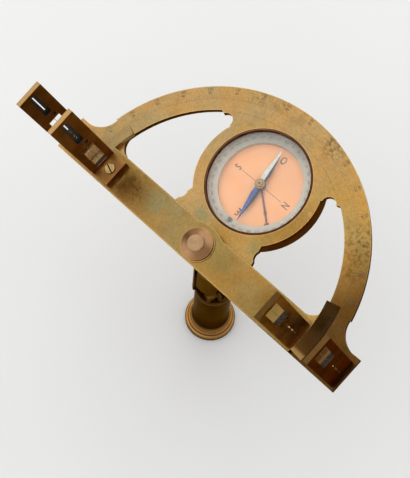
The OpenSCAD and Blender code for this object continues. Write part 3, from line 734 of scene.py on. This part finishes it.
class GRAPHOMETER_OT_alidade(bpy.types.Operator):
    """Finishes the alidade, its index arcs, the washer and the pivot knob"""

    bl_idname = "graphometer.alidade"
    bl_label = "Finish the alidade"

    def execute(self, context):
        look = context.scene.graphometer_finish
        brass = flat_brass("alidade_brass", look.alidade_colour, look, green=0.55, brown=0.4, seed=2.3,
                           dusk=0.35, patches=ALIDADE_PATCHES, side=SHADED_SIDE_SHARE, wear=0.85)
        dress("alidade_bar", brass, look.edge_width)
        # The left arc is painted paler than the limb as painted light; the right arc is painted dark as
        # painted shade.
        light = scaled(look.limb_colour, LEFT_ARC_LIT_SHARE)
        dress("index_arc_left", flat_brass("left_arc_brass", light, look, green=0.3, brown=0.2, seed=3.1))
        dress("index_arc_right", self.right_arc_finish(look))
        dress("pivot_knob", self.knob_finish(look.knob_colour), look.edge_width)
        bright = scaled(look.edge_colour, 0.45)
        dress("pivot_washer", flat_brass("washer_brass", bright, look, green=0.1, brown=0.2, seed=1.7))
        return {"FINISHED"}

    @staticmethod
    def right_arc_finish(look):
        """Brass painted dark as painted shade, lifting towards the bar, and ending in a narrow gold strip.
        """
        finish = upright_brass("arc_brass", look.limb_colour, scaled(look.upright_colour, 0.34), 0.96)
        up = finish.along("Object", ARC_WAY, PIVOT)
        # The painted shade eases towards the bar.
        lighter = finish.span(up, -0.006, 0.012, 0.9, 0.0)
        body = finish.mix(lighter, finish.colour_so_far(), look.upright_colour)
        gold = scaled(look.edge_colour, RIGHT_ARC_END_SHARE)
        finish.colour(finish.mix(finish.span(up, -0.0085, -0.0065), gold, body))
        return finish.material

    @staticmethod
    def knob_finish(colour):
        """Worn reddish metal with fine turning rings, and a painted sheen of light and dark sectors on its
        skirt.
        """
        finish = Finish("knob_metal", metal=0.9, rough=0.42)
        cloud = finish.cloud(130.0, 5.0)
        dark = scaled(colour, 0.66)
        turned = finish.span(finish.round_noise(1400.0), 0.4, 0.62, 0.0, 0.75)
        body = finish.mix(turned, finish.mix(cloud, colour, dark), dark)
        radius = finish.radius(PIVOT)
        skirt = finish.span(radius, 0.0058, 0.0064)
        # Painted sheen: the skirt is paler along one way and darker across it, as turned metal shines.
        shine_way = finish.along("Object", ARC_WAY * 0.96 + BAR_WAY * 0.28, PIVOT)
        ratio = finish.number("DIVIDE", shine_way, radius)
        bow_tie_sheen = finish.span(finish.times(ratio, ratio), 0.25, 0.85)
        tone = finish.mix(bow_tie_sheen, *KNOB_SHEEN_SHARES)
        finish.colour(finish.tint(skirt, body, tone))
        rings = finish.tree.nodes.new("ShaderNodeTexWave")
        rings.wave_type = "RINGS"
        rings.rings_direction = "SPHERICAL"
        rings.inputs["Scale"].default_value = 900.0
        rings.inputs["Distortion"].default_value = 0.6
        shifted = finish.vector("SUBTRACT", finish.place.outputs["Object"], PIVOT)
        finish.link(shifted, rings.inputs["Vector"])
        finish.rough(finish.span(rings.outputs["Fac"], 0.0, 1.0, 0.26, 0.4))
        finish.bump(rings.outputs["Fac"], FINE_RELIEF)
        return finish.material


class GRAPHOMETER_OT_sights(bpy.types.Operator):
    """Finishes the four sights, their foot screws and their hairs"""

    bl_idname = "graphometer.sights"
    bl_label = "Finish the sights"

    def execute(self, context):
        look = context.scene.graphometer_finish
        for node, (upright, top, foot) in SIGHT_TONE.items():
            on_left = node.endswith("left")
            low, high = plate_box(node)
            outer = -low.x if on_left else high.x
            worn = scaled(look.limb_colour if on_left else look.foot_colour, top)
            brass = upright_brass(node + "_brass", worn, scaled(look.upright_colour, upright))
            # The foot's share paints the right fixed sight's foot dark, as the upright's painted shadow.
            darken_foot(brass, scaled(look.foot_colour, foot))
            blacken_openings(brass, outer - SIGHT_THICKNESS, -1 if on_left else 1,
                             low.z + OPENING_OVER_BOTTOM, high.z - OPENING_UNDER_TOP)
            dress(node, brass.material, look.edge_width)
        for node in ("fixed_sight_screws", "alidade_sight_screws"):
            dress(node, self.slotted_finish(node, look))
        thread = Finish("hair", metal=0.0, rough=0.7)
        twist = thread.span(thread.noise(2600.0, 2.0), 0.4, 0.6)
        thread.colour(thread.mix(twist, *HAIR))
        for node in ("fixed_sight_hairs", "alidade_sight_hairs"):
            dress(node, thread.material)
        return {"FINISHED"}

    @staticmethod
    def slotted_finish(node, look):
        """Bright screw heads, darker in the slot and round the side."""
        finish = upright_brass(node + "_brass", scaled(look.edge_colour, 0.8), look.upright_colour)
        top = plate_box(node)[1].z
        # Darker below the head's top: in the slot and round the side.
        below_top = finish.span(finish.along("Object", NORMAL, PIVOT), top - 0.0006, top - 0.0004, 1.0, 0.0)
        finish.colour(finish.mix(below_top, finish.colour_so_far(), SLOT_DARK))
        return finish.material


class GRAPHOMETER_OT_compass(bpy.types.Operator):
    """Finishes the compass: box, screws, dial, ring, glass, needle and lifter"""

    bl_idname = "graphometer.compass"
    bl_label = "Finish the compass"

    def execute(self, context):
        look = context.scene.graphometer_finish
        box = turned_brass("box_brass", look.box_colour, scaled(look.box_colour, 0.5))
        dress("compass_box", box, look.edge_width)
        dress("glass_ring", self.retainer_finish(look.box_colour))
        dress("compass_dial", self.dial_finish(look.dial_colour))
        dress("chapter_ring", self.ring_finish(look.ring_colour), look.edge_width)
        dress("compass_glass", self.glass_finish())
        dress("needle", self.needle_finish(look.blue_colour))
        dress("needle_pivot", turned_brass("steel", *STEEL))
        screw = upright_brass("screw_brass", scaled(look.limb_colour, 0.8), look.upright_colour).material
        for node in ("compass_box_screws", "lifter_screw", "needle_cap"):
            dress(node, screw)
        dress("cap_jewel", speckled("jewel", JEWEL, rough=0.2, scale=900.0, low=0.4, high=0.6))
        red = speckled("lifter_red", LIFTER_RED, rough=0.45, scale=500.0, low=0.35, high=0.65)
        for node in ("needle_lifter", "lifter_hinge"):
            dress(node, red)
        return {"FINISHED"}

    @staticmethod
    def retainer_finish(colour):
        """Dark red-brown ring with a thin painted highlight line on the left."""
        finish = Finish("retainer_brass", metal=0.9, rough=0.4)
        finish.glance(RETAINER_GLANCE)
        outer = plate_box("glass_ring", COMPASS)[1].x
        line = finish.within(finish.radius(COMPASS.translation), outer - 0.001, outer - 0.0004, 0.0001)
        left = finish.span(finish.along("Object", ARC_WAY * 0.4 - BAR_WAY, COMPASS.translation), 0.0, 0.03)
        cloud = finish.cloud(180.0, 4.0, 0.65)
        body = finish.mix(cloud, scaled(colour, 0.5), scaled(colour, 0.9))
        # Painted highlight: a thin pale line round the ring, on its left only.
        finish.colour(finish.mix(finish.times(line, left), body, scaled(colour, 2.2)))
        return finish.material

    @staticmethod
    def dial_finish(colour):
        """Matt copper with a fine grain and faint clouds."""
        finish = Finish("copper_dial", metal=0.1, rough=0.55)
        cloud = finish.cloud(55.0, 4.0)
        grain = finish.noise(2200.0, 2.0)
        body = finish.mix(cloud, colour, scaled(colour, 0.9))
        finish.colour(finish.mix(finish.span(grain, 0.5, 0.8, 0.0, 0.25), body, scaled(colour, 0.8)))
        finish.bump(grain, DIAL_RELIEF)
        return finish.material

    @staticmethod
    def ring_finish(colour):
        """Matt silvering, tarnished grey-green in clouds, with one dark spot and painted shade on its far
        side.
        """
        finish = Finish("silvered_ring", metal=0.15, rough=0.5)
        cloud = finish.span(finish.noise(160.0, 5.0), 0.38, 0.68)
        body = finish.mix(cloud, colour, scaled(colour, TARNISH_SHARE))
        inner = finish.span(finish.radius(COMPASS.translation), 0.0325, 0.0345, 0.35, 0.0)
        body = finish.mix(inner, body, RING_INNER)
        # Painted shade on the far side of the ring, under the box's wall.
        far = finish.along("Object", ARC_WAY * 0.9 - BAR_WAY * 0.44, COMPASS.translation)
        body = finish.tint(finish.span(far, 0.01, 0.03), body, RING_FAR_SHADE_SHARE)
        spot_place = COMPASS @ Vector((0.001, -0.0299, RING_TOP))
        spot = finish.span(finish.distance(spot_place), 0.0011, 0.0026, 0.95, 0.0)
        finish.colour(finish.mix(spot, body, RING_SPOT))
        finish.rough(finish.span(finish.noise(700.0), 0.3, 0.7, 0.42, 0.6))
        return finish.material

    @staticmethod
    def glass_finish():
        """Thin clear glass."""
        finish = Finish("glass", metal=0.0, rough=0.05)
        smear = finish.span(finish.noise(120.0, 4.0), 0.3, 0.7, 0.04, 0.08)
        finish.link(smear, finish.shader.inputs["Alpha"])
        finish.shader.inputs["Base Color"].default_value = (0.92, 0.96, 0.95, 1.0)
        finish.shader.inputs["Specular IOR Level"].default_value = 0.3
        return finish.material

    @staticmethod
    def needle_finish(blue):
        """Steel, blued on the half towards the bar and bright on the other, with one flank in shade."""
        finish = Finish("blued_steel", metal=0.4, rough=0.35)
        centre = COMPASS @ Vector((0.0, 0.0, NEEDLE_TOP))
        half = finish.span(finish.along("Object", ARC_WAY, centre), -0.0012, 0.0012)
        cloud = finish.cloud(300.0, 3.0)
        heading = math.radians(NEEDLE_HEADING)
        flank = BAR_WAY * math.sin(heading) - ARC_WAY * math.cos(heading)
        shade = finish.span(finish.along("Object", flank, centre), 0.0006, 0.0008)
        cold = finish.mix(cloud, blue, scaled(blue, 0.75))
        cold = finish.mix(shade, cold, scaled(blue, 0.1))
        white = finish.mix(cloud, *NEEDLE_WHITE)
        white = finish.mix(shade, white, NEEDLE_SHADE)
        finish.colour(finish.mix(half, cold, white))
        finish.rough(finish.span(finish.noise(900.0), 0.3, 0.7, 0.28, 0.42))
        return finish.material


class GRAPHOMETER_OT_joint(bpy.types.Operator):
    """Finishes the staff socket, the jaws, their pin, the clamp and the ball"""

    bl_idname = "graphometer.joint"
    bl_label = "Finish the ball joint"

    def execute(self, context):
        look = context.scene.graphometer_finish
        socket, rim = look.socket_colour, look.rim_colour
        dress("staff_socket", self.socket_finish(socket, rim), look.edge_width)
        jaw = turned_brass("jaw_brass", scaled(socket, 2.2), socket, scaled(rim, 0.75))
        for node in ("fixed_jaw", "front_jaw"):
            dress(node, jaw, look.edge_width)
        dress("ball_stem", jaw)
        dress("fulcrum_pin", turned_brass("pin_brass", rim, scaled(rim, 0.5)))
        clamp = turned_brass("dark_brass", scaled(socket, 1.8), scaled(socket, 0.6))
        for node in ("clamp_screw", "clamp_nut"):
            dress(node, clamp, look.edge_width)
        return {"FINISHED"}

    @staticmethod
    def socket_finish(dark, bright):
        """Dark tube with a flared foot of bright brass, whose upward faces are painted light and whose
        walls and grooves are painted dark as painted shade.
        """
        finish = Finish("socket_brass", metal=1.0, rough=0.36)
        finish.glance(TURNED_GLANCE)
        rings = finish.noise(30.0, 4.0, (0.5, 0.5, 40.0))
        foot = finish.span(finish.along("Object", UPWARD), *SOCKET_FOOT_TOP, 1.0, 0.0)
        cloud = finish.cloud(80.0, 5.0)
        tube = finish.mix(cloud, scaled(dark, 0.65), scaled(dark, 1.2))
        # Upward faces of the foot take the gold as painted light, the others the dark as painted shade.
        lit_shelf = finish.span(finish.along("Normal", UPWARD), 0.4, 0.85)
        gold = finish.mix(cloud, bright, scaled(bright, 0.7))
        radius = finish.radius((0.0, 0.0, 0.0), UPWARD)
        # Painted shade in the foot's grooves.
        for start in SOCKET_GROOVES:
            groove_shade = finish.times(finish.span(radius, start, start + 0.0002),
                                  finish.span(radius, start + 0.0005, start + 0.0008, 0.85, 0.0))
            gold = finish.mix(groove_shade, gold, scaled(dark, GROOVE_SHADE_SHARE))
        # Edges of the tube made paler, partly wear and partly painted highlight.
        rubbed_and_sheen = finish.times(finish.edges(WEAR_REACH), finish.span(cloud, 0.0, 1.0, 0.6, 1.0))
        tube = finish.mix(rubbed_and_sheen, tube, scaled(bright, 0.75))
        # The foot: painted light on its upward faces, painted shade on the rest.
        worn = finish.mix(lit_shelf, scaled(dark, 1.3), gold)
        finish.colour(finish.mix(foot, tube, worn))
        finish.rough(finish.span(rings, 0.3, 0.7, 0.28, 0.45))
        finish.bump(rings, FINE_RELIEF)
        return finish.material


class GRAPHOMETER_OT_limb_marks(bpy.types.Operator):
    """Adds the limb's degree lines and figures and the lines on the index arcs"""

    bl_idname = "graphometer.limb_marks"
    bl_label = "Engrave the limb"

    def execute(self, context):
        marks = context.scene.graphometer_marks
        width, height = marks.line_width, marks.line_height
        ink = wax("limb_wax", marks.wax_colour)
        lines = bmesh.new()
        for degree in range(0, 181):
            length = line_length(degree, DEGREE_LINE_LENGTHS)
            start = polar(DEGREE_LINE_R, degree)
            end = polar(DEGREE_LINE_R + length, degree)
            add_bar(lines, start, end, width, height, PLATE)
        add_arc(lines, DEGREE_LINE_R, 0.0, 180.0, width, height, PLATE, 120)
        add_arc(lines, INNER_ARC_R, 60.0, 120.0, width, height, PLATE, 40)
        new_piece("limb_lines", lines, ink, "limb")
        figures = bmesh.new()
        for degree in range(10, 180, 10):
            for radius, value in zip(DEGREE_FIGURE_R, (degree, 180 - degree)):
                place = outward(PLATE, radius, degree)
                add_figure(figures, str(value), marks.figure_size, place, height)
        new_piece("limb_figures", figures, ink, "limb")
        self.index_lines(marks, ink)
        return {"FINISHED"}

    @staticmethod
    def index_lines(marks, ink):
        """Fine lines on the bevels of both index arcs."""
        low, high = plate_box("index_arc_right")
        top, edge = high.z, low.z + 0.0005
        lines = bmesh.new()
        for mirror in (1, -1):
            for step in range(0, INDEX_LINE_COUNT):
                length = line_length(step, INDEX_LINE_LENGTHS)
                ends = []
                for radius in (INDEX_OUTER_R - length, INDEX_OUTER_R - 0.2):
                    slope = (radius - INDEX_INNER_R) / (INDEX_OUTER_R - INDEX_INNER_R)
                    x, y = polar(radius, step * INDEX_STEP)
                    ends.append((mirror * x, y, top + (edge - top) * slope))
                add_bar(lines, ends[0], ends[1], marks.line_width * 0.8, marks.line_height, PLATE)
        new_piece("index_lines", lines, ink, "alidade")


class GRAPHOMETER_OT_compass_marks(bpy.types.Operator):
    """Adds the compass ring's lines and figures, and the dial's letters and middle line"""

    bl_idname = "graphometer.compass_marks"
    bl_label = "Engrave the compass"

    def execute(self, context):
        marks = context.scene.graphometer_marks
        grey = wax("ring_wax", RING_WAX)
        level = COMPASS @ Matrix.Translation((0.0, 0.0, RING_TOP))
        lines = bmesh.new()
        for angle in range(0, 360):
            length, weight = (1.5, 3.6) if angle % 5 == 0 else (0.9, 1.2)
            start = polar(RING_LINE_R - length, angle)
            end = polar(RING_LINE_R, angle)
            add_bar(lines, start, end, marks.line_width * weight, marks.line_height, level)
        new_piece("ring_lines", lines, grey, "limb")
        figures = bmesh.new()
        for angle in range(0, 360, 10):
            place = outward(level, RING_FIGURE_R, angle)
            add_figure(figures, str(angle), RING_FIGURE_SIZE, place, marks.line_height)
        new_piece("ring_figures", figures, grey, "limb")
        self.letters(marks)
        return {"FINISHED"}

    @staticmethod
    def letters(marks):
        """The four letters and the middle line on the dial."""
        ink = wax("dial_wax", DIAL_WAX)
        level = COMPASS @ Matrix.Translation((0.0, 0.0, DIAL_TOP))
        narrow = Matrix.Diagonal(DIAL_LETTER_SHAPE)
        form = bmesh.new()
        for letter, angle, radius in DIAL_LETTERS:
            place = outward(level, radius, angle) @ narrow
            add_figure(form, letter, marks.letter_size, place, marks.line_height, DIAL_LETTER_WEIGHT)
        for side in (-1, 1):
            start, end = ((side * radius * MM, 0.0) for radius in DIAL_LINE_ENDS)
            add_bar(form, start, end, marks.line_width * 3.0, marks.line_height, level)
        new_piece("dial_letters", form, ink, "limb")


class GRAPHOMETER_OT_stage(bpy.types.Operator):
    """Sets the floor, the lamps, the sky and the camera"""

    bl_idname = "graphometer.stage"
    bl_label = "Set the studio"

    def execute(self, context):
        studio = context.scene.graphometer_stage
        self.floor(studio.floor_colour)
        self.sky(studio.sky_level)
        mirrored = Vector((-CAMERA_PLACE[0], -CAMERA_PLACE[1], CAMERA_PLACE[2])).normalized()
        over = PLATE @ (mirrored * KEY_DISTANCE)
        self.lamp("key_lamp", over, PIVOT, KEY_WIDTH, studio.key_power)
        self.lamp("side_lamp", SIDE_PLACE, SIDE_AIM, SIDE_WIDTH, studio.side_power)
        self.camera(studio.lens)
        context.scene.view_settings.view_transform = "Standard"
        return {"FINISHED"}

    @staticmethod
    def floor(pale):
        """A wide plain floor under the socket's foot."""
        form = bmesh.new()
        bmesh.ops.create_grid(form, x_segments=1, y_segments=1, size=FLOOR_REACH)
        mesh = bpy.data.meshes.new("floor")
        form.to_mesh(mesh)
        form.free()
        finish = Finish("floor", metal=0.0, rough=0.75)
        tone = finish.span(finish.noise(3.0, 3.0), 0.3, 0.7)
        finish.colour(finish.mix(tone, pale, scaled(pale, 0.97)))
        mesh.materials.append(finish.material)
        linked("floor", mesh)

    @staticmethod
    def sky(level):
        """Even white light all round."""
        world = bpy.data.worlds.new("sky")
        world.use_nodes = True
        back = world.node_tree.nodes["Background"]
        back.inputs["Color"].default_value = (1.0, 1.0, 1.0, 1.0)
        back.inputs["Strength"].default_value = level
        bpy.context.scene.world = world

    @staticmethod
    def lamp(name, place, aim, width, power):
        """One square soft lamp."""
        light = bpy.data.lights.new(name, "AREA")
        light.shape = "SQUARE"
        light.size = width
        light.energy = power
        lamp = linked(name, light)
        lamp.location = place
        lamp.rotation_euler = (Vector(aim) - Vector(place)).to_track_quat("-Z", "Y").to_euler()

    @staticmethod
    def camera(lens):
        """The camera at the photograph's angle."""
        data = bpy.data.cameras.new("camera")
        data.sensor_fit = "HORIZONTAL"
        data.sensor_width = SENSOR_WIDTH
        data.lens = lens
        camera = linked("camera", data)
        right = PLATE.to_3x3() @ Vector(CAMERA_RIGHT)
        up = PLATE.to_3x3() @ Vector(CAMERA_UP)
        camera.matrix_world = placed_axes(right, up, right.cross(up), PLATE @ Vector(CAMERA_PLACE))
        bpy.context.scene.camera = camera


class GRAPHOMETER_PT_panel(bpy.types.Panel):
    """Lists the steps and settings in the sidebar"""

    bl_idname = "GRAPHOMETER_PT_panel"
    bl_label = "Graphometer"
    bl_space_type = "VIEW_3D"
    bl_region_type = "UI"
    bl_category = "Graphometer"

    def draw(self, context):
        scene = context.scene
        for group in (scene.graphometer_finish, scene.graphometer_marks, scene.graphometer_stage):
            column = self.layout.column()
            for name in group.__annotations__:
                column.prop(group, name)
        for operator in OPERATORS:
            self.layout.operator(operator.bl_idname)


OPERATORS = (
    GRAPHOMETER_OT_limb,
    GRAPHOMETER_OT_alidade,
    GRAPHOMETER_OT_sights,
    GRAPHOMETER_OT_compass,
    GRAPHOMETER_OT_joint,
    GRAPHOMETER_OT_limb_marks,
    GRAPHOMETER_OT_compass_marks,
    GRAPHOMETER_OT_stage,
)
GROUPS = (GraphometerFinish, GraphometerMarks, GraphometerStage)
CLASSES = GROUPS + OPERATORS + (GRAPHOMETER_PT_panel,)


def register():
    """Registers the classes and puts the settings on the scene."""
    for item in CLASSES:
        bpy.utils.register_class(item)
    bpy.types.Scene.graphometer_finish = bpy.props.PointerProperty(type=GraphometerFinish)
    bpy.types.Scene.graphometer_marks = bpy.props.PointerProperty(type=GraphometerMarks)
    bpy.types.Scene.graphometer_stage = bpy.props.PointerProperty(type=GraphometerStage)


def unregister():
    """Takes the settings and the classes away."""
    del bpy.types.Scene.graphometer_stage
    del bpy.types.Scene.graphometer_marks
    del bpy.types.Scene.graphometer_finish
    for item in reversed(CLASSES):
        bpy.utils.unregister_class(item)


def main():
    """Runs every step."""
    register()
    bpy.ops.graphometer.limb()
    bpy.ops.graphometer.alidade()
    bpy.ops.graphometer.sights()
    bpy.ops.graphometer.compass()
    bpy.ops.graphometer.joint()
    bpy.ops.graphometer.limb_marks()
    bpy.ops.graphometer.compass_marks()
    bpy.ops.graphometer.stage()


if __name__ == "__main__":
    main()
